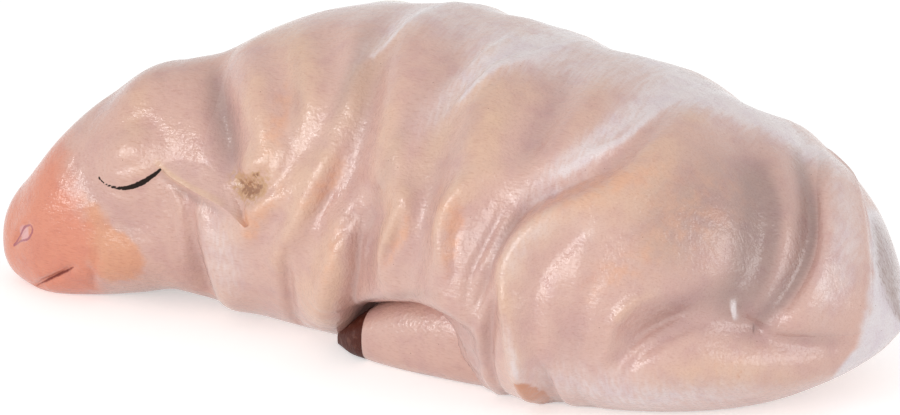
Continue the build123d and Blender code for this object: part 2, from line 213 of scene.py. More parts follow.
# %% Folds of the far flank
right_folds = [
    (-0.9, 0.8, [(0.256, 114), (0.270, 136), (0.284, 156), (0.300, 172)]),
    (1.0, 1.1, [(0.290, 112), (0.325, 140), (0.335, 165), (0.315, 195)]),
    (-0.8, 0.8, [(0.340, 112), (0.372, 140), (0.378, 168), (0.352, 200)]),
    (0.9, 1.0, [(0.392, 112), (0.420, 142), (0.424, 170), (0.395, 208)]),
    (-0.8, 0.9, [(0.440, 108), (0.470, 142), (0.474, 172), (0.446, 208)]),
    (0.8, 1.0, [(0.492, 108), (0.520, 140), (0.524, 172), (0.500, 208)]),
    (-0.7, 0.8, [(0.545, 112), (0.572, 142), (0.574, 175), (0.550, 210)]),
    (0.9, 1.1, [(0.600, 118), (0.628, 145), (0.630, 178), (0.606, 212)]),
    (-1.0, 0.9, [(0.665, 112), (0.690, 142), (0.690, 176), (0.664, 212)]),
    (0.8, 1.4, [(0.730, 115), (0.752, 142), (0.752, 175), (0.728, 210)]),
    (-0.9, 0.9, [(0.802, 115), (0.818, 142), (0.815, 172), (0.790, 205)]),
    (0.7, 1.0, [(0.846, 122), (0.862, 145), (0.860, 172), (0.838, 205)]),
]
print(len(right_folds), "broad strokes on the far flank")

# %% [markdown]
# The face is shallower, and its two sides match: the brow and the hollow under it, the cheek, the corner
# of the jaw and the stop where the forehead meets the nose. Its strokes are noted for the left side alone.

# %% Broad strokes of the face
face_height, face_width = 0.7, 2.2
left_face = [
    (0.8, 1.2, [(0.150, 34), (0.180, 29), (0.208, 32)]),
    (-0.7, 1.0, [(0.105, 40), (0.128, 26), (0.140, 12)]),
    (-0.5, 1.0, [(0.150, 4), (0.185, 2), (0.215, 8)]),
    (0.6, 1.1, [(0.120, -18), (0.165, -22), (0.205, -20)]),
    (0.7, 1.3, [(0.158, 62), (0.195, 72)]),
    (-0.9, 1.2, [(0.110, 56), (0.128, 74), (0.132, 90)]),
]
print(len(left_face), "broad strokes on each side of the face")

# %% [markdown]
# ## The small gouge and the knife
# Over the broad folds go crisp strokes of a few tenths of a millimetre: the sharp crest of each lock of
# wool, the knife cut beside it, the hollow under the haunch and the wrinkles of cheek and chin. A bump
# texture could fake them, but they show at the outline too, and they make the varnish catch the light in
# broken white patches, which is most of what the eye reads as carving. So they are cut into the mesh.
# Heights and half widths are in millimetres here.

# %% Crisp strokes
crisp_strokes = [
    # first fold behind the ear: its curled end, its thin rim and the pocket under it
    (0.55, 1.2, [(0.313, 23), (0.332, 20), (0.351, 22), (0.362, 26)]),
    (0.30, 0.5, [(0.371, 27), (0.370, 23), (0.362, 18), (0.352, 16)]),
    (-0.80, 1.2, [(0.312, 17), (0.328, 14), (0.346, 15)]),
    (-0.45, 0.5, [(0.316, 12), (0.324, 9), (0.332, 4), (0.340, 2)]),
    # second fold
    (0.80, 1.4, [(0.411, 24), (0.392, 18), (0.377, 13), (0.357, 10), (0.340, 6), (0.328, 1)]),
    (-0.50, 0.6, [(0.440, 27), (0.435, 22), (0.428, 16), (0.420, 11), (0.408, 7)]),
    # third fold and the lobe over the chest
    (0.90, 1.4, [(0.434, 26), (0.421, 20), (0.407, 13), (0.395, 7), (0.382, 2), (0.372, -4)]),
    (-0.40, 0.5, [(0.463, 14), (0.457, 9), (0.439, 4)]),
    (1.10, 2.3, [(0.458, 7), (0.448, 0), (0.438, -8), (0.424, -22)]),
    (-0.60, 0.6, [(0.470, 12), (0.468, 5), (0.465, -1), (0.458, -11), (0.450, -22), (0.446, -36)]),
    (-0.70, 0.7, [(0.384, 0), (0.380, -6), (0.377, -16), (0.373, -30), (0.365, -49)]),
    (0.30, 0.4, [(0.487, 10), (0.477, 5), (0.472, 1)]),
    # folds over the foreleg
    (0.85, 1.4, [(0.513, 34), (0.523, 25), (0.534, 21), (0.526, 15), (0.510, 8), (0.506, 2)]),
    (-0.70, 0.6, [(0.533, 18), (0.528, 12), (0.517, 7), (0.510, 3)]),
    (0.90, 1.4, [(0.645, 41), (0.617, 34), (0.598, 29), (0.586, 23), (0.583, 18), (0.594, 12)]),
    (-0.60, 0.6, [(0.606, 26), (0.600, 20), (0.599, 16), (0.603, 10)]),
    (-0.50, 0.5, [(0.720, 45), (0.691, 38), (0.672, 33), (0.660, 26), (0.651, 20), (0.642, 13),
                  (0.632, 5)]),
    (-0.40, 0.5, [(0.651, 33), (0.641, 26), (0.631, 18), (0.622, 12), (0.617, 4)]),
    # folds of the haunch
    (0.75, 1.3, [(0.735, 38), (0.706, 32), (0.689, 28), (0.673, 23), (0.662, 17), (0.660, 11), (0.664, 7)]),
    (0.70, 1.0, [(0.664, 9), (0.671, 2), (0.677, -8), (0.677, -24), (0.672, -52)]),
    (0.45, 0.6, [(0.645, 8), (0.634, 1), (0.630, -8), (0.626, -22), (0.622, -52)]),
    (-0.60, 0.5, [(0.655, 10), (0.646, 0), (0.643, -9), (0.640, -24), (0.638, -52)]),
    (-0.45, 0.5, [(0.700, -14), (0.700, -30), (0.696, -55)]),
    (0.35, 1.2, [(0.778, 41), (0.760, 37), (0.744, 32), (0.736, 26), (0.734, 19), (0.732, 11)]),
    (-0.60, 0.9, [(0.734, 29), (0.716, 24), (0.700, 18), (0.691, 11), (0.690, 3), (0.691, -8),
                  (0.690, -25), (0.686, -50)]),
    (0.30, 0.9, [(0.716, 14), (0.710, 4), (0.709, -10), (0.706, -28), (0.700, -50)]),
    (-0.35, 0.8, [(0.748, 16), (0.738, 8), (0.735, -4), (0.732, -25), (0.726, -50)]),
    # crests of the folds over the back
    (0.45, 0.8, [(0.477, 107), (0.476, 89), (0.466, 76), (0.457, 68), (0.446, 60), (0.439, 51),
                 (0.442, 41)]),
    (0.35, 0.7, [(0.581, 104), (0.585, 88), (0.576, 77), (0.562, 67), (0.549, 59), (0.539, 52)]),
    (0.40, 0.7, [(0.628, 100), (0.624, 89), (0.614, 79), (0.599, 71), (0.582, 62), (0.568, 55),
                 (0.552, 47)]),
    (0.45, 0.7, [(0.767, 112), (0.767, 96), (0.760, 82), (0.752, 70), (0.742, 60), (0.722, 52),
                 (0.700, 44), (0.682, 39)]),
    # hollow and knife cuts under the haunch, and the crease of the hock
    (-0.70, 1.5, [(0.869, 17), (0.846, 14), (0.821, 9), (0.799, 5), (0.775, 1)]),
    (-0.45, 0.5, [(0.829, 10), (0.804, 5), (0.785, 0), (0.772, -8)]),
    (-0.35, 0.5, [(0.845, 7), (0.818, 2), (0.795, -3), (0.780, -13)]),
    (0.70, 0.7, [(0.806, 15), (0.790, 12), (0.777, 8), (0.768, 2), (0.762, -6)]),
    (-0.50, 0.9, [(0.879, 8), (0.886, 4), (0.904, 1), (0.927, -3), (0.948, -7), (0.968, -12)]),
    (-0.50, 1.3, [(0.874, 13), (0.884, 7), (0.890, 2)]),
    (0.40, 0.35, [(0.8705, 15), (0.873, 8)]),
    # two grooves between haunch and tail, and the ridge between them
    (-0.40, 1.3, [(0.843, 90), (0.875, 66), (0.886, 50), (0.884, 34), (0.874, 20)]),
    (0.12, 0.8, [(0.870, 84), (0.894, 66), (0.906, 51), (0.907, 34), (0.900, 17)]),
    (-0.60, 0.9, [(0.865, 110), (0.895, 92), (0.916, 66), (0.921, 48), (0.917, 28), (0.905, 13),
                  (0.890, 5)]),
    # crest that the rump turns round
    (0.45, 0.5, [(0.889, 123), (0.914, 122), (0.944, 105), (0.964, 93), (0.976, 71), (0.982, 32),
                 (0.975, -15)]),
]
print(len(crisp_strokes), "crisp strokes on the near flank")

# %% Crisp strokes of the face
crisp_face = [
    (-0.25, 0.7, [(0.204, 29), (0.220, 19), (0.240, 14), (0.264, 10), (0.286, 7.5), (0.304, 5.5),
                  (0.325, 3)]),
    (-0.50, 0.9, [(0.250, 12), (0.257, 4), (0.261, -6), (0.262, -20), (0.260, -44)]),
    (0.40, 1.1, [(0.262, 9), (0.271, 2), (0.276, -8), (0.277, -22), (0.274, -44)]),
    (0.20, 0.5, [(0.233, 14), (0.245, 4), (0.247, -8), (0.246, -20)]),
    (-0.15, 0.5, [(0.224, 14), (0.233, 4), (0.238, -8)]),
    (-0.25, 0.6, [(0.143, 4), (0.144, -12), (0.127, -38)]),
    (-0.18, 0.5, [(0.127, -16), (0.135, -29), (0.127, -46)]),
    (-0.16, 0.9, [(0.158, 42), (0.179, 46), (0.203, 42), (0.220, 34), (0.226, 26)]),
    (0.30, 1.5, [(0.160, 30), (0.180, 32), (0.200, 29)]),
    (0.25, 0.8, [(0.150, 24), (0.175, 20), (0.200, 21), (0.216, 25)]),
    (-0.08, 0.35, [(0.150, 19), (0.172, 14), (0.198, 14), (0.216, 19)]),
    (-0.55, 0.5, [(0.056, -46), (0.072, -34), (0.088, -28), (0.100, -24), (0.113, -19)]),
    (0.22, 0.6, [(0.062, -26), (0.082, -20), (0.100, -16)]),
    (-0.40, 0.45, [(0.033, 2), (0.042, 9), (0.056, 15)]),
    (0.15, 0.7, [(0.030, 14), (0.046, 22), (0.066, 22)]),
]
print(len(crisp_face), "crisp strokes on each side of the face")


# %% The same strokes elsewhere
crest_height, crest_width = 0.2, 1.3


def mirrored(path):
    """The same path on the other side of the back."""
    return [(along, 180 - degrees) for along, degrees in path]


def both_sides(strokes):
    """Strokes of one side and the same ones on the other."""
    return strokes + [(tall, wide, mirrored(path)) for tall, wide, path in strokes]


def crisped(folds):
    """A low crisp stroke along the middle of each broad one, which gives a guessed fold its crest."""
    return [(crest_height * tall, crest_width * wide, path) for tall, wide, path in folds]


print("the first fold of the far flank starts at", mirrored(right_folds[0][2])[0], "seen in a mirror")

# %% [markdown]
# ## How a stroke lifts the surface
# A gouge leaves a rounded furrow that is deepest at its middle and runs out at both ends. Three whole-array
# steps say that: how far each point lies from the stroke, how high the stroke is there, and the sum of all
# strokes. It could be done with a displacement texture, but texture space pinches at nose and rump, while
# a distance measured over the form is true everywhere.


# %% Distance to a stroke
def nearness(spots, path):
    """Distance from each spot to a path over the form, and the share of the path where it is nearest.

    Each spot is dropped square onto every short run of the path, and the nearest foot counts.
    """
    line = skin(*np.array(smooth(path, path_steps)).T)
    start, run = line[:-1], np.diff(line, axis=0)
    foot = np.clip(
        np.einsum("psk,sk->ps", spots[:, None] - start, run) / np.einsum("sk,sk->s", run, run), 0, 1
    )
    gap = np.linalg.norm(spots[:, None] - start - foot[..., None] * run, axis=-1)
    best = gap.argmin(axis=1)
    row = np.arange(len(spots))
    return gap[row, best], (best + foot[row, best]) / len(run)


print("from the haunch to the last fold, mm:", nearness(skin(0.8, 0)[None], left_folds[-1][2])[0].round(1))


# %% Rise of the strokes
run_out, bluntness = 0.1, 0.7


def relief(spots, strokes, height, width):
    """How far strokes raise each spot, in mm.

    A stroke's section is a bell curve of the distance, and its strength follows a blunt half wave along
    the path, so that it runs out at both ends.
    """
    total = np.zeros(len(spots))
    for tall, wide, path in strokes:
        line = skin(*np.array(smooth(path, path_steps)).T)
        reach = 3 * wide * width
        near = np.all((spots > line.min(0) - reach) & (spots < line.max(0) + reach), axis=1)
        gap, share = nearness(spots[near], path)
        wave = np.sin(np.pi * (run_out + (1 - 2 * run_out) * share)) ** bluntness
        total[near] += tall * height * wave * np.exp(-((gap / (wide * width)) ** 2))
    return total


print("rise at the haunch:", relief(skin(0.79, 40)[None], left_folds, fold_height, fold_width).round(2), "mm")

# %% Everything the gouge and the knife do
muzzle_ring = 3
spine_degrees, spine_reach, spine_calm = 97, 16, 0.55


def flat_rows(along, degrees):
    """Every place of a grid in two flat rows, and the shape that folds them back into the grid."""
    along, degrees = np.broadcast_arrays(along, degrees)
    return along.ravel(), degrees.ravel(), along.shape


def carve(along, degrees):
    """Rise of all the strokes at places on the form: the broad one and the crisp one, in mm.

    Both die out towards nose and rump, with the ring's half width over that of the muzzle, and are calmer
    along the spine, by a bell curve of the degrees away from it.
    """
    places, turns, shape = flat_rows(along, degrees)
    spots = skin(places, turns)
    broad = relief(spots, left_folds + right_folds, fold_height, fold_width)
    broad += relief(spots, both_sides(left_face), face_height, face_width)
    crisp = relief(spots, crisp_strokes + crisped(right_folds) + both_sides(crisp_face), 1, 1)
    fade = np.minimum(1, spread(LEFT, places) / ring_rows[muzzle_ring, LEFT])
    flatter = 1 - spine_calm * np.exp(-(((turns - spine_degrees) / spine_reach) ** 2))
    return (broad * fade * flatter).reshape(shape), (crisp * fade * flatter).reshape(shape)


print("broad and crisp rise under the haunch, mm:", [rise.round(2) for rise in carve(0.87, 15)])

# %% [markdown]
# ## Where the colours change
# The painter works in thin layers, with warm orange where two locks meet. Over it go cream on the soft
# ridges as painted highlight, mauve grey in the deep hollows as painted shade, and white over the back as
# painted sheen and reflection. A painted picture could be wrapped round the figurine. We paint with strokes
# again, and keep how strongly each colour covers a point as a number on that point, so the paint follows
# the carving and stays sharp close up. The materials read those numbers.
# The first number of a stroke is its strength, the second its half width in millimetres.

# %% Orange, and cream as painted highlight
glow_strokes = [
    (0.8, 1.6, [(0.352, 52), (0.358, 40), (0.357, 29), (0.350, 22)]),
    (0.9, 1.0, [(0.440, 28), (0.434, 21), (0.419, 16), (0.400, 10)]),
    (0.7, 1.3, [(0.384, 18), (0.368, 12), (0.346, 6), (0.322, -2)]),
    (0.7, 1.2, [(0.452, 10), (0.440, 2), (0.432, -8)]),
    (1.0, 0.8, [(0.542, 20), (0.536, 14), (0.523, 8), (0.509, 3)]),
    (0.7, 1.2, [(0.600, 30), (0.592, 24), (0.570, 30)]),
    (1.0, 0.8, [(0.606, 26), (0.600, 20), (0.598, 14), (0.596, 8)]),
    (0.9, 2.0, [(0.670, 26), (0.688, 32), (0.712, 37), (0.738, 42), (0.762, 47), (0.780, 53)]),
    (0.6, 5.0, [(0.850, 66), (0.832, 46), (0.812, 34), (0.785, 25)]),
    (0.5, 1.8, [(0.790, 24), (0.760, 18), (0.740, 10)]),
    (0.9, 0.8, [(0.333, 8), (0.340, 4), (0.338, 0)]),
    (0.4, 1.2, [(0.920, 2), (0.880, -6), (0.820, -8)]),
]
# Painted highlight: lighter cream along the ears' front edges and on the ridges of head, neck and back.
highlight_strokes = [
    (1.4, 0.45, [(0.214, 25), (0.225, 21), (0.240, 17.5), (0.264, 13.5), (0.286, 11), (0.304, 9)]),
    (0.8, 2.6, [(0.310, 88), (0.345, 66), (0.384, 45), (0.380, 30)]),
    (0.7, 2.2, [(0.470, 80), (0.447, 59), (0.442, 41), (0.423, 28)]),
    (0.7, 2.4, [(0.590, 76), (0.566, 52), (0.551, 38), (0.541, 26)]),
    (0.6, 2.4, [(0.640, 76), (0.618, 54), (0.606, 40)]),
    (0.6, 2.5, [(0.165, 70), (0.180, 50), (0.175, 36)]),
    (0.5, 2.0, [(0.262, 74), (0.290, 86), (0.310, 96)]),
]
print(len(glow_strokes), "orange strokes and", len(highlight_strokes), "cream ones")

# %% Shade in the hollows
# Painted shade: grey in the hollows, below the ears' front edges and over the haunch.
shade_strokes = [
    (0.9, 0.60, [(0.217, 21.5), (0.240, 13.5), (0.264, 9.5), (0.286, 7), (0.304, 5)]),
    (1.3, 1.5, [(0.246, 76), (0.262, 58), (0.278, 44), (0.292, 31), (0.306, 21)]),
    (0.5, 1.3, [(0.340, 70), (0.362, 56), (0.380, 38), (0.378, 25)]),
    (0.9, 1.6, [(0.424, 75), (0.434, 56), (0.424, 36)]),
    (0.5, 1.5, [(0.470, 72), (0.460, 50), (0.452, 30)]),
    (0.6, 1.6, [(0.526, 66), (0.517, 43), (0.505, 27), (0.484, 12), (0.474, -6)]),
    (0.5, 1.5, [(0.600, 71), (0.591, 48), (0.568, 32), (0.560, 18)]),
    (0.7, 1.1, [(0.690, 35), (0.664, 28), (0.648, 18), (0.636, 8)]),
    (1.10, 5.4, [(0.850, 72), (0.836, 50), (0.818, 36), (0.796, 24)]),
    (2.0, 2.1, [(0.866, 70), (0.882, 56), (0.886, 38), (0.884, 24), (0.872, 12)]),
    (1.8, 1.3, [(0.875, 100), (0.908, 76), (0.920, 56), (0.922, 38), (0.912, 20), (0.890, 6)]),
    (0.6, 2.0, [(0.870, 18), (0.845, 14), (0.815, 8), (0.795, 2)]),
    (0.6, 1.2, [(0.900, 5), (0.935, 2), (0.965, 0)]),
    (0.5, 1.2, [(0.276, -20), (0.290, -45)]),
    (0.8, 0.8, [(0.470, -17), (0.504, -8), (0.532, -3), (0.560, 1), (0.590, 4)]),
]
print(len(shade_strokes), "strokes of shade")

# %% Painted sheen: white highlights and reflections over the wool
# Painted sheen: white highlights along the crests, and white reflections over the back, the haunch and the
# neck.
sheen_strokes = [
    (0.45, 1.9, [(0.470, 107), (0.468, 89), (0.458, 76), (0.449, 68), (0.438, 60), (0.431, 51)]),
    (0.8, 2.5, [(0.606, 102), (0.610, 88), (0.594, 78), (0.580, 69), (0.565, 60), (0.550, 52),
                (0.535, 43)]),
    (0.9, 1.6, [(0.757, 104), (0.753, 88), (0.745, 76), (0.734, 66), (0.722, 56), (0.704, 47),
                (0.684, 39), (0.668, 34)]),
    (1.05, 4.2, [(0.600, 109), (0.680, 106), (0.760, 104), (0.820, 105), (0.880, 107)]),
    (0.9, 2.4, [(0.770, 90), (0.820, 97), (0.860, 102), (0.905, 104)]),
    (0.8, 2.0, [(0.300, 106), (0.400, 105), (0.500, 108), (0.600, 112)]),
    (0.60, 5.0, [(0.380, 92), (0.460, 88), (0.560, 84), (0.660, 84), (0.760, 86), (0.850, 92)]),
    (0.9, 0.25, [(0.477, 107), (0.476, 89), (0.466, 76), (0.457, 68), (0.446, 60)]),
    (0.9, 0.25, [(0.628, 100), (0.624, 89), (0.614, 79), (0.599, 71), (0.582, 62), (0.568, 55)]),
    (0.9, 0.30, [(0.767, 112), (0.767, 96), (0.760, 82), (0.752, 70), (0.742, 60), (0.722, 52),
                 (0.700, 44)]),
    (0.5, 1.7, [(0.716, 32), (0.697, 28), (0.680, 23), (0.669, 17), (0.666, 11)]),
    (0.35, 1.2, [(0.752, 34), (0.740, 29), (0.734, 22)]),
    (0.70, 3.0, [(0.925, 96), (0.948, 76), (0.958, 50), (0.952, 18)]),
    (0.85, 4.0, [(0.680, -20), (0.750, -26), (0.820, -30), (0.900, -30)]),
    (0.60, 3.5, [(0.292, 6), (0.300, -10), (0.296, -34)]),
    (0.6, 0.7, [(0.668, 4), (0.675, -6), (0.677, -20)]),
    (1.8, 0.22, [(0.8705, 15.5), (0.873, 8)]),
]
print(len(sheen_strokes), "strokes of white")

# %% [markdown]
# Age left a brown pocket behind the ear where dirt stayed in the carving, and rust-coloured rubs low on
# the haunch. On the cheek the varnish pooled in amber.

# %% Stains
stain_strokes = [
    (1.5, 1.3, [(0.312, 17), (0.326, 14), (0.340, 14), (0.352, 17)]),
    (3.0, 0.22, [(0.342, 18.2), (0.343, 17.6)]),
]
rust_strokes = [
    (4.0, 0.62, [(0.676, -22), (0.680, -36), (0.676, -48)]),
    (0.6, 0.7, [(0.884, -11), (0.887, -13)]),
    (0.6, 0.25, [(0.641, -19), (0.642, -20)]),
    (0.35, 0.35, [(0.735, -44), (0.738, -48)]),
]
amber_strokes = [
    (0.8, 1.8, [(0.134, -6), (0.148, -20), (0.152, -36)]),
    (1.2, 1.8, [(0.130, 14), (0.146, 2), (0.166, -8), (0.182, -18)]),
    (1.0, 2.2, [(0.160, -6), (0.176, -18), (0.160, -32)]),
]
print(len(stain_strokes + rust_strokes), "stains, and", len(amber_strokes), "amber strokes on a cheek")

# %% [markdown]
# Two colours end at an edge: the salmon muzzle, and the painted white reflection behind the crest of the
# rump. The shut eye, the lips and the nostril are single lines of a fine brush, so each has its own half
# width along it.

# %% Edges and brush lines
# Where the salmon muzzle ends: share of the length at each height round the ring.
muzzle_edge = [(-60, 0.130), (-39, 0.139), (-25, 0.148), (-6, 0.146), (4, 0.141), (12, 0.129), (21, 0.118),
               (35, 0.106), (60, 0.092), (75, 0.086), (90, 0.084)]
# Where the rump turns away behind its crest.
rump_edge = [(-90, 0.930), (-50, 0.950), (-15, 0.973), (32, 0.980), (71, 0.974), (93, 0.960), (105, 0.947),
             (122, 0.945), (150, 0.950), (215, 0.960)]
# Painted shade behind the rump's crest: how deep it reaches, and where round the ring it is strongest.
rump_shade_depth, rump_shade_degrees, rump_shade_reach = 3.5, 95, 40
# Share of the painted white reflection behind the rump's crest, round the ring.
reflection_fade = [(-88, 0), (-58, 1), (110, 1), (165, 0)]
lash_stroke = [(0.146, 22.5), (0.158, 18.5), (0.178, 16), (0.196, 17), (0.210, 19.5), (0.221, 23)]
lash_half_widths = [0.08, 0.12, 0.21, 0.27, 0.21, 0.08]
lash_dots = [((0.146, 23), 0.16), ((0.2215, 24.0), 0.12)]
lip_stroke = [(0.052, -50), (0.062, -42), (0.075, -34), (0.090, -28), (0.102, -24), (0.112, -20)]
lip_half_widths = [0.03, 0.06, 0.12, 0.17, 0.14, 0.05]
nostril_heart = (0.050, 10)
nostril_loop = [(0.032, 1), (0.041, 8), (0.049, 14), (0.060, 14), (0.064, 10), (0.057, 6), (0.045, 5),
                (0.032, 1)]
print(len(muzzle_edge) + len(rump_edge), "points on two edges")


# %% Paint as numbers
def painted_line(spots, path, half_widths):
    """How far inside a painted line each spot lies, in mm: its half width there minus the distance."""
    gap, share = nearness(spots, path)
    return np.interp(share * (len(half_widths) - 1), range(len(half_widths)), half_widths) - gap


def wool_numbers(along, degrees):
    """How strongly each colour of the wool covers each place, and how far it lies behind the rump's crest.

    The painted shade behind the crest grows with that distance and dies out again by a bell curve, and is
    strongest near the back. The painted white reflection there fades out towards the far side and the floor.
    """
    places, turns, shape = flat_rows(along, degrees)
    spots = skin(places, turns)
    numbers = {
        name: relief(spots, strokes, 1, 1).reshape(shape)
        for name, strokes in (
            ("glow", glow_strokes), ("cream_highlight", highlight_strokes), ("shade", shade_strokes),
            ("stain", stain_strokes), ("rust", rust_strokes), ("painted_sheen", sheen_strokes),
        )
    }
    edge = np.interp(turns, *np.array(rump_edge).T)
    numbers["rear"] = ((places - edge) * figure_length).reshape(shape)
    behind = np.maximum(numbers["rear"], 0)
    by_the_back = np.exp(-(((turns - rump_shade_degrees) / rump_shade_reach) ** 2)).reshape(shape)
    numbers["rump_shade"] = behind * np.exp(-((behind / rump_shade_depth) ** 2)) * by_the_back
    numbers["painted_reflection"] = np.interp(turns, *np.array(reflection_fade, float).T).reshape(shape)
    return numbers


def face_numbers(along, degrees):
    """The wool's numbers, and those of muzzle, cheek, lash, lips and nostrils, on both sides."""
    numbers = wool_numbers(along, degrees)
    places, turns, shape = flat_rows(along, degrees)
    spots = skin(places, turns)
    edge = np.interp(np.where(turns > 90, 180 - turns, turns), *np.array(muzzle_edge).T)
    numbers["muzzle"] = ((edge - places) * figure_length).reshape(shape)
    numbers["amber"] = relief(spots, both_sides(amber_strokes), 1, 1).reshape(shape)
    for name, path, half_widths in (
        ("lash", lash_stroke, lash_half_widths),
        ("lip", lip_stroke, lip_half_widths),
    ):
        sides = [painted_line(spots, side, half_widths) for side in (path, mirrored(path))]
        numbers[name] = np.maximum(*sides).reshape(shape)
    for place, radius in lash_dots:
        for side in (place, *mirrored([place])):
            dot = radius - np.linalg.norm(spots - skin(*side), axis=1)
            numbers["lash"] = np.maximum(numbers["lash"], dot.reshape(shape))
    loops = [nearness(spots, side)[0] for side in (nostril_loop, mirrored(nostril_loop))]
    numbers["nostril"] = np.minimum(*loops).reshape(shape)
    sides = (nostril_heart, *mirrored([nostril_heart]))
    hearts = [np.linalg.norm(spots - skin(*side), axis=1) for side in sides]
    numbers["nostril_heart"] = np.minimum(*hearts).reshape(shape)
    return numbers


print("numbers on the face:", *face_numbers(0.1, 20))

# %% [markdown]
# ## From a grid of points to a closed mesh
# Every piece is a grid: rows run along the piece, columns run round it. The last column joins the first,
# and a fan of triangles closes each end, as solid wood has no open edge. A plane could be bent and
# stitched with modifiers, but whole arrays of points and faces are quicker to make and can't leave a gap.

# %% Meshes
merge_distance = 2e-7
sharp_angle = math.radians(85)


def finish_mesh(mesh):
    """Merge points that coincide, turn the faces outwards and shade them smooth but for sharp edges."""
    work = bmesh.new()
    work.from_mesh(mesh)
    bmesh.ops.remove_doubles(work, verts=work.verts, dist=merge_distance)
    bmesh.ops.recalc_face_normals(work, faces=work.faces)
    work.to_mesh(mesh)
    work.free()
    mesh.polygons.foreach_set("use_smooth", np.ones(len(mesh.polygons), bool))
    mesh.set_sharp_from_angle(angle=sharp_angle)


def closed_shell(name, grid, numbers):
    """Closed mesh of a grid of points in mm, its last column joined to the first and both ends fanned."""
    rows, columns = grid.shape[:2]
    points = np.concatenate([grid.reshape(-1, 3), grid[0].mean(0)[None], grid[-1].mean(0)[None]]) * mm
    here = (np.arange(rows - 1)[:, None] * columns + np.arange(columns)).ravel()
    beside = (np.arange(rows - 1)[:, None] * columns + (np.arange(columns) + 1) % columns).ravel()
    quads = np.stack([here, beside, beside + columns, here + columns], axis=1)
    first, last = np.arange(columns), (rows - 1) * columns + np.arange(columns)
    near_fan = np.stack([np.full(columns, rows * columns), np.roll(first, -1), first], axis=1)
    far_fan = np.stack([np.full(columns, rows * columns + 1), last, np.roll(last, -1)], axis=1)
    mesh = bpy.data.meshes.new(name)
    mesh.from_pydata(points.tolist(), [], quads.tolist() + near_fan.tolist() + far_fan.tolist())
    for label, values in numbers.items():
        layer = mesh.attributes.new(label, "FLOAT", "POINT")
        values = np.r_[values.ravel(), values[0].mean(), values[-1].mean()]
        layer.data.foreach_set("value", values.astype(np.float32))
    finish_mesh(mesh)
    piece = bpy.data.objects.new(name, mesh)
    bpy.context.collection.objects.link(piece)
    low, high = points.min(0) / mm, points.max(0) / mm
    print(f"{name}: {len(mesh.polygons)} faces, from {low.round(1)} to {high.round(1)} mm")
    return piece


# %% [markdown]
# ## Head and fleece
# The carver works head, neck and body out of one block, so they are one function of two parameters here:
# how far along the sheep, and how far round the ring. Two separate bodies joined by a boolean would leave
# a seam across the neck. The neck joint only splits the rows between two meshes, and a few rows lie very
# close to it, so that both meshes are shaded alike where they meet.

# %% The form as one grid
ring_columns, under_columns = 380, 8


def form_piece(name, along, number_maker):
    """Mesh of the carved form with rows at the given places along.

    A ring starts where it leaves the floor on the left, goes over the back down to the floor on the
    right, and comes back flat along the underside. The floor angle is the arc sine of middle height over
    the height below it, to the power of half the squareness.
    """
    middle = spread(WIDEST, along) * widest_height
    under = middle + spread(BITE, along) * floor_bite
    floor_angle = np.degrees(np.arcsin(np.clip(middle / under, 0, 1) ** (lower_square / 2)))[:, None]
    degrees = -floor_angle + np.linspace(0, 1, ring_columns) * (180 + 2 * floor_angle)
    places = along[:, None]
    broad, crisp = carve(places, degrees)
    carved = skin(places, degrees, broad + crisp)
    carved[..., 2] = np.maximum(carved[..., 2], 0)
    back = np.linspace(0, 1, under_columns + 2)[1:-1, None]
    belly = carved[:, -1:] * (1 - back) + carved[:, :1] * back
    numbers = {"fold": broad, "crease": crisp, **number_maker(places, degrees)}
    numbers = {
        label: np.concatenate([values, np.repeat(values[:, :1], under_columns, axis=1)], axis=1)
        for label, values in numbers.items()
    }
    return closed_shell(name, np.concatenate([carved, belly], axis=1), numbers)


# %% Head and fleece from the same form
neck_joint = 0.265
fleece_rows, head_rows, crowding = 250, 150, 1.3
close_rows = np.array([0.0002, 0.0006, 0.0014, 0.0024])
fleece_along = neck_joint + (1 - neck_joint) * (1 - (1 - np.linspace(0, 1, fleece_rows)) ** crowding)
fleece_along = np.sort(np.r_[fleece_along, neck_joint + close_rows])
head_along = neck_joint * np.linspace(0, 1, head_rows) ** crowding
head_along = np.sort(np.r_[head_along, neck_joint - close_rows[:3]])
fleece = form_piece("fleece", fleece_along, wool_numbers)
face = form_piece("face", head_along, face_numbers)

# %% [markdown]
# ## Ears
# The ears are left standing in low relief: each hangs back from the brow and lies against the neck, with a
# rolled front edge and a pointed tip. A folded plane would float over the carving, so an ear is a sheet
# laid on the form between two edges, with its own height across. Where the height runs out to nothing,
# the sheet flows into the head.

# %% Sheets laid on the form
sheet_rows, sheet_columns = 150, 70


def laid_sheet(name, one_edge, other_edge, height, sink):
    """Closed sheet between two edges over the form.

    Its upper side stands off the carved form by height(down, across), its lower side lies sink under it.
    """
    down = np.linspace(0, 1, sheet_rows)
    edges = [smooth(edge, fine_steps) for edge in (one_edge, other_edge)]
    first, second = [
        np.stack([np.interp(down, np.linspace(0, 1, len(edge)), column) for column in edge.T], axis=1)
        for edge in edges
    ]
    across = 0.5 - 0.5 * np.cos(np.pi * np.linspace(0, 1, sheet_columns))
    over = first[:, None] * (1 - across[:, None]) + second[:, None] * across[:, None]
    broad, crisp = carve(over[..., 0], over[..., 1])
    rise = height(down[:, None], across[None, :])
    top = skin(over[..., 0], over[..., 1], broad + crisp + rise)
    bottom = skin(over[..., 0], over[..., 1], broad - sink)[:, ::-1]
    grid = np.concatenate([top, bottom], axis=1)
    grid[..., 2] = np.maximum(grid[..., 2], 0)
    numbers = {"fold": broad, "crease": crisp, **wool_numbers(over[..., 0], over[..., 1])}
    numbers = {
        label: np.concatenate([values, values[:, ::-1]], axis=1) for label, values in numbers.items()
    }
    return closed_shell(name, grid, numbers)


def ramp(value, start, end):
    """Nothing up to start, one from end on, and straight between them."""
    return np.clip((value - start) / (end - start), 0, 1)


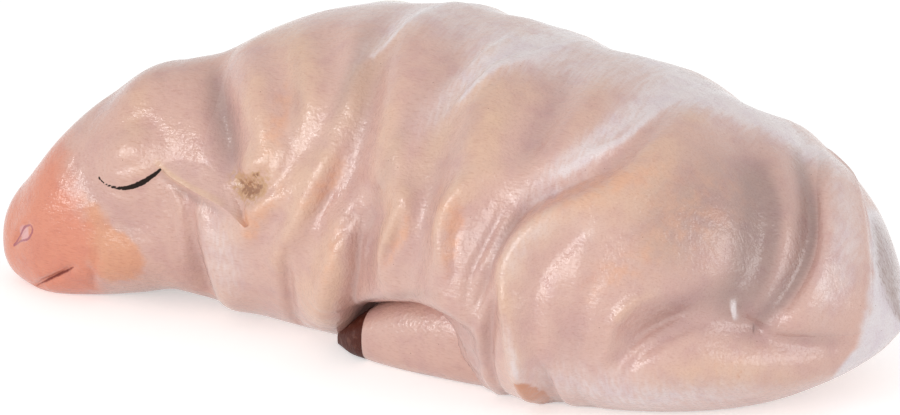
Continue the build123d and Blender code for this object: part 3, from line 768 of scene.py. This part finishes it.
# %% Left and right ear
ear_front = [(0.196, 62), (0.200, 42), (0.206, 30), (0.214, 24), (0.225, 20), (0.240, 16.5), (0.264, 12.5),
             (0.286, 10), (0.304, 8), (0.320, 6), (0.333, 3.5)]
ear_back = [(0.240, 66), (0.260, 52), (0.276, 42), (0.288, 34), (0.298, 27), (0.307, 21.5), (0.315, 17),
            (0.322, 13), (0.329, 9.5), (0.335, 6.5), (0.337, 3.5)]
ear_lip, ear_sink = 1.25, 0.7
ear_dish, ear_thinner = 0.30, 0.45
root_sink, back_sink = 0.6, 0.40


def ear_height(down, across):
    """Height of the ear: nothing at the root, a lip along the front edge, and a fall to the back edge.

    Down the ear it rises with a smooth step and thins again towards the tip. Across, it is a quarter
    round close to the front edge, then a slope to the back with a shallow dish in it.
    """
    rising = ramp(down, 0.20, 0.60)
    lift = ear_lip * rising**2 * (3 - 2 * rising) * (1 - ear_thinner * ramp(down, 0.6, 1.0) ** 2)
    rounding = np.sqrt(np.clip(1 - (1 - ramp(across, 0, 0.07)) ** 2, 0, 1))
    slope = (1 - across) ** 1.1 - ear_dish * np.sin(np.pi * across) ** 2
    return lift * rounding * slope - root_sink * ramp(-down, -0.45, 0) - back_sink * across**3


ears = [
    laid_sheet(name, *edges, ear_height, ear_sink)
    for name, edges in (
        ("ear_left", (ear_front, ear_back)),
        ("ear_right", (mirrored(ear_front), mirrored(ear_back))),
    )
]

# %% [markdown]
# ## Tail
# The tail hangs down the left corner of the rump, pressed flat against it. A round tube would look stuck
# on, so it is a second sheet laid on the form: full over its middle, and flowing out at both ends.

# %% Tail
tail_inner = [(0.868, 118), (0.890, 104), (0.916, 79), (0.931, 52), (0.928, 29), (0.911, 8), (0.896, 2)]
tail_outer = [(0.889, 124), (0.914, 120), (0.946, 103), (0.968, 84), (0.980, 50), (0.981, 14), (0.976, 0)]
tail_thickness, tail_sink = 1.0, 1.0
end_sink, outer_thinner = 0.25, 0.25


def tail_height(down, across):
    """Height of the tail: a rise at its root, an end that runs out, and a steep inner and outer side."""
    lengthwise = ramp(down, 0, 0.3) ** 1.5 * ramp(1 - down, 0, 0.22) ** 0.8
    outer = ramp(1 - across, 0, 0.10)
    section = np.sin(0.5 * np.pi * ramp(across, 0, 0.35)) ** 1.2 * np.sqrt(1 - (1 - outer) ** 2)
    rise = tail_thickness * lengthwise * section * (1 - outer_thinner * across)
    return rise - end_sink * (1 - lengthwise)


tail = laid_sheet("tail_sheet", tail_inner, tail_outer, tail_height, tail_sink)

# %% [markdown]
# ## Legs and hooves
# One hind leg lies on the ground under the belly with its dark pointed hoof in front. A leg is a rounded
# section carried along a line, thinner towards the hoof. A cylinder with a taper would do for a round
# leg, but this one is squarish and pressed flat on the ground. Leg and hoof come from one grid, split at
# the ankle, so that they meet without a step. The folded foreleg of the far side is made the same way.

# %% Sections carried along a line
block_square, ankle_share = 2.5, 0.80
leg_rows, leg_columns = 140, 90
in_front_of_rump = -2.0  # mm: keeps the painted white reflection of the rump off the legs


def leg_and_hoof(names, root_share, reach, side, girth, radius, rows):
    """Leg and hoof as two closed shells.

    A section is centre + sideways * half width * eased cosine + up * half height * eased sine, and what
    would reach below the floor is pressed flat on it.
    """
    close = smooth(rows, fine_steps)
    at = np.linspace(0, 1, leg_rows)
    along, out, middle, wide, high = [np.interp(at, close[:, 0], column)[:, None] for column in close.T]
    turn = 2 * np.pi * np.arange(leg_columns)[None, :] / leg_columns
    root = (root_share - 0.5) * figure_length
    grid = np.stack([
        root - reach * along + 0 * turn,
        side * girth * out + side_shift + radius * wide * eased(np.cos(turn), block_square),
        np.maximum(radius * (middle + high * eased(np.sin(turn), block_square)), 0),
    ], axis=-1)
    ankle = int(np.argmin(np.abs(at - ankle_share)))
    rear = np.full(grid.shape[:2], in_front_of_rump)
    leg = closed_shell(names[0], grid[: ankle + 1], {"rear": rear[: ankle + 1]})
    return leg, closed_shell(names[1], grid[ankle:], {"rear": rear[ankle:]})


# %% The two legs that show
# Each row: share of the reach, way out as a share of the girth, then the height of the middle, half the
# width and half the height as shares of the radius.
hind_leg = [
    (0.00, 0.46, 1.10, 1.05, 1.20),
    (0.30, 0.44, 1.06, 1.14, 1.18),
    (0.55, 0.43, 0.90, 0.98, 1.04),
    (0.70, 0.43, 0.74, 0.82, 0.84),
    (0.80, 0.43, 0.61, 0.67, 0.66),
    (0.90, 0.41, 0.39, 0.42, 0.45),
    (1.00, 0.385, 0.17, 0.05, 0.14),
]
fore_leg = [
    (0.00, 0.38, 0.98, 1.00, 1.05),
    (0.18, 0.55, 0.95, 1.02, 1.05),
    (0.40, 0.63, 0.86, 0.96, 0.94),
    (0.62, 0.63, 0.75, 0.83, 0.82),
    (0.80, 0.60, 0.61, 0.68, 0.66),
    (0.90, 0.58, 0.42, 0.46, 0.47),
    (1.00, 0.56, 0.17, 0.05, 0.14),
]
shank, hoof = leg_and_hoof(("shank", "hoof"), 0.64, 22.5, -1, left_girth, 4.2, hind_leg)
far_shank, far_hoof = leg_and_hoof(("far_shank", "far_hoof"), 0.44, 16.8, 1, right_girth, 3.8, fore_leg)

# %% [markdown]
# ## Each piece stands for its node
# The measured model has nine named solids. Every surface above replaces one of them and rides on the same
# body, so the model stays one object in one frame.

# %% Each piece stands for its node
for piece, node, slot in (
    (fleece, "fleece_body", "fleece_paint"),
    (face, "head", "face_paint"),
    (ears[0], "left_ear", "ear_paint"),
    (ears[1], "right_ear", "ear_paint"),
    (tail, "tail", "fleece_paint"),
    (shank, "left_hind_leg", "leg_paint"),
    (hoof, "left_hind_hoof", "hoof_paint"),
    (far_shank, "right_foreleg", "leg_paint"),
    (far_hoof, "right_fore_hoof", "hoof_paint"),
):
    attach(piece, "root")
    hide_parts(node)

# %% [markdown]
# ## Paint
# Real figurines of this kind are primed, painted with thinned colour that gathers in the hollows, and
# varnished. A material is a small graph of nodes, and it could be clicked together by hand. We write
# helpers first, so that a recipe reads like one: brush this colour over that one, from where this number
# begins to where it is full.

# %% Nodes and numbers
def new_node(tree, kind, **values):
    """A node with its settings and unlinked inputs filled in; a name that is no setting is an input."""
    made = tree.nodes.new(kind)
    for name, value in values.items():
        if hasattr(made, name):
            setattr(made, name, value)
        else:
            made.inputs[name.replace("_", " ")].default_value = value
    return made


def number_of(tree, name):
    """The number that the mesh keeps under a name."""
    return new_node(tree, "ShaderNodeAttribute", attribute_name=name).outputs["Fac"]


def sum_up(tree, kind, one, other, clamp=False):
    """One number worked out from two; either may be a plain number."""
    made = new_node(tree, "ShaderNodeMath", operation=kind, use_clamp=clamp)
    for socket, value in zip(made.inputs, (one, other)):
        if isinstance(value, (int, float)):
            socket.default_value = value
        else:
            tree.links.new(value, socket)
    return made.outputs[0]


def plus(tree, one, other):
    """Two numbers added."""
    return sum_up(tree, "ADD", one, other)


def times(tree, one, other):
    """Two numbers multiplied."""
    return sum_up(tree, "MULTIPLY", one, other)


def stretched(tree, value, low, high, to_low=0.0, to_high=1.0):
    """A number from low to high, stretched smoothly onto to_low and to_high and held there beyond."""
    made = new_node(tree, "ShaderNodeMapRange", interpolation_type="SMOOTHSTEP")
    tree.links.new(value, made.inputs["Value"])
    for name, number in (("From Min", low), ("From Max", high), ("To Min", to_low), ("To Max", to_high)):
        made.inputs[name].default_value = number
    return made.outputs["Result"]


# %% Brushing one colour over another
def laid_over(tree, under, over, strength, blend="MIX"):
    """A colour laid over another; each colour is a socket or three numbers."""
    made = new_node(tree, "ShaderNodeMix", data_type="RGBA", blend_type=blend)
    for name, value in (("A", under), ("B", over)):
        socket = [s for s in made.inputs if s.name == name and s.type == "RGBA"][0]
        if isinstance(value, tuple):
            socket.default_value = (*value, 1)
        else:
            tree.links.new(value, socket)
    tree.links.new(strength, made.inputs["Factor"])
    return [s for s in made.outputs if s.type == "RGBA"][0]


def brushed(tree, under, over, number, begins, full, cover=1.0, blend="MIX"):
    """A colour over another: nothing where the number begins, and as much as cover where it is full."""
    return laid_over(tree, under, over, stretched(tree, number, begins, full, 0, cover), blend)


# %% Grain, patches and pores
def grain(tree, size, stretch=(1, 1, 1), detail=2.0):
    """Noise whose lumps are about size mm wide, drawn out by a factor along each axis."""
    place = new_node(tree, "ShaderNodeTexCoord").outputs["Object"]
    turned = new_node(tree, "ShaderNodeMapping")
    turned.inputs["Scale"].default_value = tuple(1 / s for s in stretch)
    tree.links.new(place, turned.inputs["Vector"])
    made = new_node(tree, "ShaderNodeTexNoise", Scale=1 / (size * mm), Detail=detail)
    tree.links.new(turned.outputs["Vector"], made.inputs["Vector"])
    return made.outputs["Fac"]


def wobble(tree, amount, size, detail=2.0):
    """Noise that swings about zero, up to half of amount each way."""
    return times(tree, sum_up(tree, "SUBTRACT", grain(tree, size, detail=detail), 0.5), amount)


def patchy(tree, name, noise, low, high, weakest, strongest):
    """A number of the mesh, times a factor from weakest to strongest that follows noise."""
    return times(tree, number_of(tree, name), stretched(tree, noise, low, high, weakest, strongest))


def pores(tree, spacing, radius):
    """One inside small round pores about spacing mm apart and radius mm across the middle, else nothing."""
    place = new_node(tree, "ShaderNodeTexCoord").outputs["Object"]
    made = new_node(tree, "ShaderNodeTexVoronoi", Scale=1 / (spacing * mm))
    tree.links.new(place, made.inputs["Vector"])
    return stretched(tree, made.outputs["Distance"], radius / spacing, 0.5 * radius / spacing)


# %% [markdown]
# ## The wool's recipe
# Thinned cream lies over pink: mauve in the valleys as painted shade, pink on the slopes and peach on the
# ridges as painted light. So the height of the strokes itself picks the colour.
# Then come the strokes of cream, shade, orange and white, the lowest layer first. Pointiness could find
# the hollows by itself, but it reads the mesh and changes with its fineness.

# %% Colours of the wool
# Painted shade: the darker mauve of the valleys.
shaded_valley_mauve = (0.600, 0.370, 0.325)
slope_pink = (0.690, 0.430, 0.358)
# Painted light: the lighter peach of the ridges.
lit_ridge_peach = (0.740, 0.470, 0.345)
orange_glow = (0.800, 0.400, 0.230)
# Painted highlight on the ridges and along the ears' front edges.
highlight_cream = (0.750, 0.490, 0.310)
# Painted shade, in the hollows and behind the rump's crest.
shade_grey = (0.345, 0.225, 0.198)
# Painted white reflection behind the rump's crest.
reflection_white = (0.800, 0.750, 0.780)
# Painted sheen: white highlights and reflections.
sheen_white = (0.840, 0.750, 0.755)


def begin_paint(name):
    """An empty material with its nodes and its shader."""
    material = bpy.data.materials.new(name)
    material.use_nodes = True
    return material, material.node_tree, material.node_tree.nodes["Principled BSDF"]


def behind_the_crest(tree, colour):
    """A colour with the painted white reflection of the rump over it, and painted shade and its hatching over
    that.
    """
    rear = plus(tree, number_of(tree, "rear"), wobble(tree, 0.3, 0.8))
    # Painted reflection: white behind the rump's crest.
    painted_reflection = times(tree, stretched(tree, rear, -0.25, 0.55, 0, 0.9), number_of(tree, "painted_reflection"))
    colour = laid_over(tree, colour, reflection_white, painted_reflection)
    # Painted shade behind the crest, with hatching in it.
    rump_shade = number_of(tree, "rump_shade")
    colour = brushed(tree, colour, shade_grey, rump_shade, 0.2, 1.4, 0.72)
    hatch = stretched(tree, grain(tree, 0.28, (1, 1, 6)), 0.50, 0.60)
    return laid_over(tree, colour, shade_grey, times(tree, hatch, stretched(tree, rump_shade, 0.2, 1.0, 0, 0.7)))


def wool_colour(tree):
    """Colour of the painted wool as one socket."""
    height = plus(tree, number_of(tree, "fold"), number_of(tree, "crease"))
    height = plus(tree, height, wobble(tree, 2.5, 6.0, detail=3))
    # Painted shade: darker mauve in the valleys; painted light: lighter peach on the ridges.
    colour = brushed(tree, shaded_valley_mauve, slope_pink, height, -1.4, 0.1)
    colour = brushed(tree, colour, lit_ridge_peach, height, 0.2, 1.5)
    # Painted highlight: cream on the ridges and along the ears' front edges.
    colour = brushed(tree, colour, highlight_cream, number_of(tree, "cream_highlight"), 0.1, 1.0, 0.6)
    # Painted shade: grey in the hollows, below the ears' edges and over the haunch.
    colour = brushed(tree, colour, shade_grey, number_of(tree, "shade"), 0.1, 1.6, 0.80)
    glow = patchy(tree, "glow", grain(tree, 1.2, detail=3), 0.3, 0.7, 0.5, 1.2)
    colour = brushed(tree, colour, orange_glow, glow, 0.15, 1.1, 0.62)
    # Painted sheen: white highlights on the crests and reflections over the back.
    painted_sheen = patchy(tree, "painted_sheen", grain(tree, 0.40, (1, 7, 3), detail=3), 0.25, 0.75, 0.72, 1.28)
    colour = brushed(tree, colour, sheen_white, painted_sheen, 0.05, 1.25, 0.85)
    return behind_the_crest(tree, colour)


# %% [markdown]
# ## Age and varnish
# The fine grain of the wood runs along the body through every layer, pores show as dark specks, and dirt
# has settled behind the ear. A clear coat over rough paint gives the satin shine. Its tiny ripples come
# from the brush, and they break the reflections into white crumbs, so they sit in the coat's normal. Cut
# into the mesh, they would cost millions of faces.

# %% Grain, pores and stains in the paint
grain_tint, cloud_tint = (0.88, 0.80, 0.77), (0.90, 0.84, 0.90)
pore_brown = (0.250, 0.110, 0.080)
pocket_brown = (0.280, 0.095, 0.025)
pocket_ochre = (0.560, 0.300, 0.130)
rust_red = (0.560, 0.200, 0.075)


def weathered(tree, colour):
    """A painted colour with wood grain, cloudiness, pores and stains in it."""
    colour = brushed(tree, colour, grain_tint, grain(tree, 0.13, (6, 1, 1)), 0.45, 0.80, 0.9, "MULTIPLY")
    colour = brushed(tree, colour, cloud_tint, grain(tree, 2.2, detail=4), 0.42, 0.72, 0.7, "MULTIPLY")
    speck = times(tree, pores(tree, 1.1, 0.075), stretched(tree, grain(tree, 3.5), 0.48, 0.60))
    colour = laid_over(tree, colour, pore_brown, times(tree, speck, 0.75))
    stain = patchy(tree, "stain", grain(tree, 0.5, detail=4), 0.30, 0.62, 0.35, 1.3)
    colour = brushed(tree, colour, pocket_ochre, stain, 0.10, 0.9, 0.85)
    colour = brushed(tree, colour, pocket_brown, stain, 0.75, 1.6, 0.9)
    rust = patchy(tree, "rust", grain(tree, 0.7, detail=3), 0.3, 0.6, 0.5, 1.2)
    return brushed(tree, colour, rust_red, rust, 0.2, 1.1, 0.85)


# %% Varnish
smoothest_paint, roughest_paint, coat_roughness = 0.38, 0.52, 0.16
wool_ripple, hoof_ripple = 0.06, 0.04


def varnish(tree, shader, colour, ripple):
    """Satin varnish over a colour: rough paint under a clear coat, both with ripples so many mm high."""
    tree.links.new(colour, shader.inputs["Base Color"])
    rough = stretched(tree, grain(tree, 1.5, detail=3), 0.3, 0.7, smoothest_paint, roughest_paint)
    tree.links.new(rough, shader.inputs["Roughness"])
    shader.inputs["Coat Weight"].default_value = 1.0
    shader.inputs["Coat Roughness"].default_value = coat_roughness
    ripples = plus(tree, grain(tree, 0.30, (1, 1, 1.6)), times(tree, grain(tree, 0.9), 1.6))
    ripples = plus(tree, ripples, times(tree, grain(tree, 0.16, (8, 1, 1), detail=1), 0.35))
    bump = new_node(tree, "ShaderNodeBump", Strength=1.0, Distance=ripple * mm)
    tree.links.new(ripples, bump.inputs["Height"])
    tree.links.new(bump.outputs["Normal"], shader.inputs["Normal"])
    tree.links.new(bump.outputs["Normal"], shader.inputs["Coat Normal"])


def wool_paint(name):
    """A material of painted and varnished wool."""
    material, tree, shader = begin_paint(name)
    varnish(tree, shader, weathered(tree, wool_colour(tree)), wool_ripple)
    return material


fleece_paint, ear_paint, leg_paint = map(wool_paint, ("fleece_paint", "ear_paint", "leg_paint"))
print(len(fleece_paint.node_tree.nodes), "nodes in the paint of the fleece")

# %% [markdown]
# ## The face's recipe
# Same wool colour, then amber where the varnish pooled on the cheek, salmon over the muzzle with a soft
# broken edge, and last the dark lines. A line's number is how far inside the line a point lies, so a
# narrow step on that number draws a crisp edge, finer than the mesh. The ink was put on last, so the
# varnish doesn't cover it.

# %% Muzzle and cheek
muzzle_salmon = (0.745, 0.270, 0.168)
cheek_amber = (0.760, 0.330, 0.160)

face_paint, tree, shader = begin_paint("face_paint")
broken = wobble(tree, 2.4, 1.6, detail=4)
amber = plus(tree, number_of(tree, "amber"), times(tree, broken, 0.4))
colour = brushed(tree, wool_colour(tree), cheek_amber, amber, 0.35, 0.95, 0.7)
muzzle = plus(tree, number_of(tree, "muzzle"), broken)
colour = weathered(tree, brushed(tree, colour, muzzle_salmon, muzzle, -1.2, 2.2, 0.94))
print(len(tree.nodes), "nodes before the brush lines")

# %% Brush lines
lash_black = (0.006, 0.003, 0.002)
lip_red = (0.180, 0.030, 0.025)
nostril_purple = (0.360, 0.080, 0.120)
nostril_rose = (0.780, 0.420, 0.420)

ragged = wobble(tree, 0.16, 0.35)
inks = []
for name, ink, feather, cover in (("lip", lip_red, 0.10, 0.90), ("lash", lash_black, 0.03, 0.98)):
    inks.append(stretched(tree, plus(tree, number_of(tree, name), ragged), -feather, feather, 0, cover))
    colour = laid_over(tree, colour, ink, inks[-1])
colour = brushed(tree, colour, nostril_rose, number_of(tree, "nostril_heart"), 1.1, 0.7, 0.8)
nostril = plus(tree, number_of(tree, "nostril"), ragged)
colour = brushed(tree, colour, nostril_purple, nostril, 0.18, 0.06, 0.8)
varnish(tree, shader, colour, wool_ripple)
shader.inputs["Specular IOR Level"].default_value = 0.1
varnished = sum_up(tree, "SUBTRACT", 1.0, sum_up(tree, "MAXIMUM", *inks))
tree.links.new(varnished, shader.inputs["Coat Weight"])
print(len(tree.nodes), "nodes in the paint of the face")

# %% [markdown]
# ## Hooves
# The hooves are dark brown and almost without varnish, with the wood showing where they were rubbed. So
# the same recipe serves, with its coat turned nearly off.

# %% Hooves
hoof_brown = (0.075, 0.014, 0.007)
hoof_rub = (0.160, 0.060, 0.040)

hoof_paint, tree, shader = begin_paint("hoof_paint")
rubbed = grain(tree, 0.6, (3, 1, 1), detail=3)
varnish(tree, shader, brushed(tree, hoof_brown, hoof_rub, rubbed, 0.50, 0.72, 0.7), hoof_ripple)
shader.inputs["Coat Weight"].default_value = 0.08
shader.inputs["Specular IOR Level"].default_value = 0.1

for pieces, material in (
    ((fleece, tail), fleece_paint), ((face,), face_paint), (ears, ear_paint),
    ((shank, far_shank), leg_paint), ((hoof, far_hoof), hoof_paint),
):
    for piece in pieces:
        piece.data.materials.append(material)
print("materials:", [material.name for material in bpy.data.materials if material.users])

# %% [markdown]
# ## Studio
# The photograph was taken on a white sweep under soft light. A bright picture of a room could light the
# scene, but three soft boxes say more plainly where the small highlights come from: a key in front of the
# left shoulder, a side box off the rump and a broad one in front. The world lights the object evenly, and
# shows plain white to the camera and to the varnish. The floor is white as well, and keeps the object's
# soft shadow.

# %% White that only the camera and the varnish see
def seen_directly(tree):
    """One for what the camera sees itself or in gloss or through glass, nothing for light on the object."""
    path = new_node(tree, "ShaderNodeLightPath")
    seen = plus(tree, path.outputs["Is Camera Ray"], path.outputs["Is Glossy Ray"])
    return sum_up(tree, "ADD", seen, path.outputs["Is Transmission Ray"], clamp=True)


# %% Floor
floor_half, floor_drop = 1.5, 0.02 * mm
floor_glow = 0.45
floor_mesh = bpy.data.meshes.new("studio_floor")
signs = [(-1, -1), (1, -1), (1, 1), (-1, 1)]
corners = [(x * floor_half, y * floor_half, -floor_drop) for x, y in signs]
floor_mesh.from_pydata(corners, [], [(0, 1, 2, 3)])
studio_floor = bpy.data.objects.new("studio_floor", floor_mesh)
bpy.context.collection.objects.link(studio_floor)

floor_white, tree, shader = begin_paint("floor_white")
shader.inputs["Base Color"].default_value = (0.90, 0.90, 0.90, 1)
shader.inputs["Roughness"].default_value = 0.9
shader.inputs["Specular IOR Level"].default_value = 0.0
tree.links.new(times(tree, seen_directly(tree), floor_glow), shader.inputs["Emission Strength"])
shader.inputs["Emission Color"].default_value = (1, 1, 1, 1)
floor_mesh.materials.append(floor_white)
print("floor:", 2 * floor_half, "m wide")

# %% World
fill_strength = 0.62
world = bpy.data.worlds.new("studio")
bpy.context.scene.world = world
world.use_nodes = True
background = world.node_tree.nodes["Background"]
background.inputs["Color"].default_value = (1, 1, 1, 1)
strength = stretched(world.node_tree, seen_directly(world.node_tree), 0, 1, fill_strength, 1.0)
world.node_tree.links.new(strength, background.inputs["Strength"])
print("fill:", fill_strength)

# %% Lamps
lamp_aim = Vector((0, 0, 14))


def soft_box(name, watts, width, height, place):
    """A rectangular lamp at a place in mm, turned to the middle of the sheep."""
    data = bpy.data.lights.new(name, "AREA")
    data.shape, data.energy, data.size, data.size_y = "RECTANGLE", watts, width * mm, height * mm
    lamp = bpy.data.objects.new(name, data)
    lamp.location = Vector(place) * mm
    lamp.rotation_euler = (lamp_aim - Vector(place)).to_track_quat("-Z", "Y").to_euler()
    bpy.context.collection.objects.link(lamp)
    print(f"{name}: {watts} W")


soft_box("key_box", 0.20, 80, 140, (-280, -400, 110))
soft_box("side_box", 0.58, 300, 240, (483, -129, 150))
soft_box("front_box", 0.70, 400, 200, (-163, -447, 105))

# %% [markdown]
# ## Camera
# A long lens stands to the right of the sheep's left flank and a little above it. We know how many pixels
# of the photograph a millimetre covers at the sheep's middle, and the lens follows from that.

# %% Camera
view_azimuth, view_elevation, view_distance = 25.0, 20.5, 520.0
photo_width, pixels_per_mm, sensor_width = 900, 9.6, 36
target = Vector((0.6, 0.5, 14.0))
azimuth, elevation = math.radians(view_azimuth), math.radians(view_elevation)
towards = Vector((
    math.sin(azimuth) * math.cos(elevation),
    -math.cos(azimuth) * math.cos(elevation),
    math.sin(elevation),
))
camera_data = bpy.data.cameras.new("camera")
camera_data.sensor_width = sensor_width
camera_data.lens = pixels_per_mm * view_distance * sensor_width / photo_width
camera = bpy.data.objects.new("camera", camera_data)
camera.location = (target + towards * view_distance) * mm
camera.rotation_euler = (-towards).to_track_quat("-Z", "Y").to_euler()
bpy.context.collection.objects.link(camera)
bpy.context.scene.camera = camera
bpy.context.scene.view_settings.view_transform = "Standard"
print("lens, mm:", round(camera_data.lens, 1))
